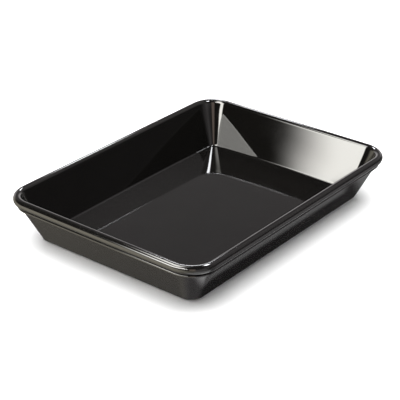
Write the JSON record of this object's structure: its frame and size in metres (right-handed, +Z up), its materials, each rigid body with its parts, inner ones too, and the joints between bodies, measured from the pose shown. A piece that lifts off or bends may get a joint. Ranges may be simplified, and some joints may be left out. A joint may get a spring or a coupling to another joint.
{
  "type": "paint roller tray",
  "caption": "Shallow rectangular paint roller tray with sloping walls, rounded corners and a rolled rim, holding a lift-out liner and standing on rubber pads.",
  "frame": {"origin": "on the surface the tray stands on, under the middle of the tray", "axes": "+X along the tray's length, +Y across its width, +Z up"},
  "size_m": [0.4, 0.3, 0.06],
  "materials": {
    "tray_plastic": "gloss",
    "liner_plastic": "gloss",
    "pad_rubber": "matt"
  },
  "bodies": {
    "tray": {"outer_tray": "tray_plastic", "pad_front_left": "pad_rubber", "pad_front_right": "pad_rubber", "pad_rear_left": "pad_rubber", "pad_rear_right": "pad_rubber"},
    "liner": {"liner": "liner_plastic"}
  },
  "joints": [
    {"name": "liner_lift", "type": "slide", "parent": "tray", "child": "liner", "axis": [0, 0, 1], "range_m": [0, 0.08]}
  ]
}
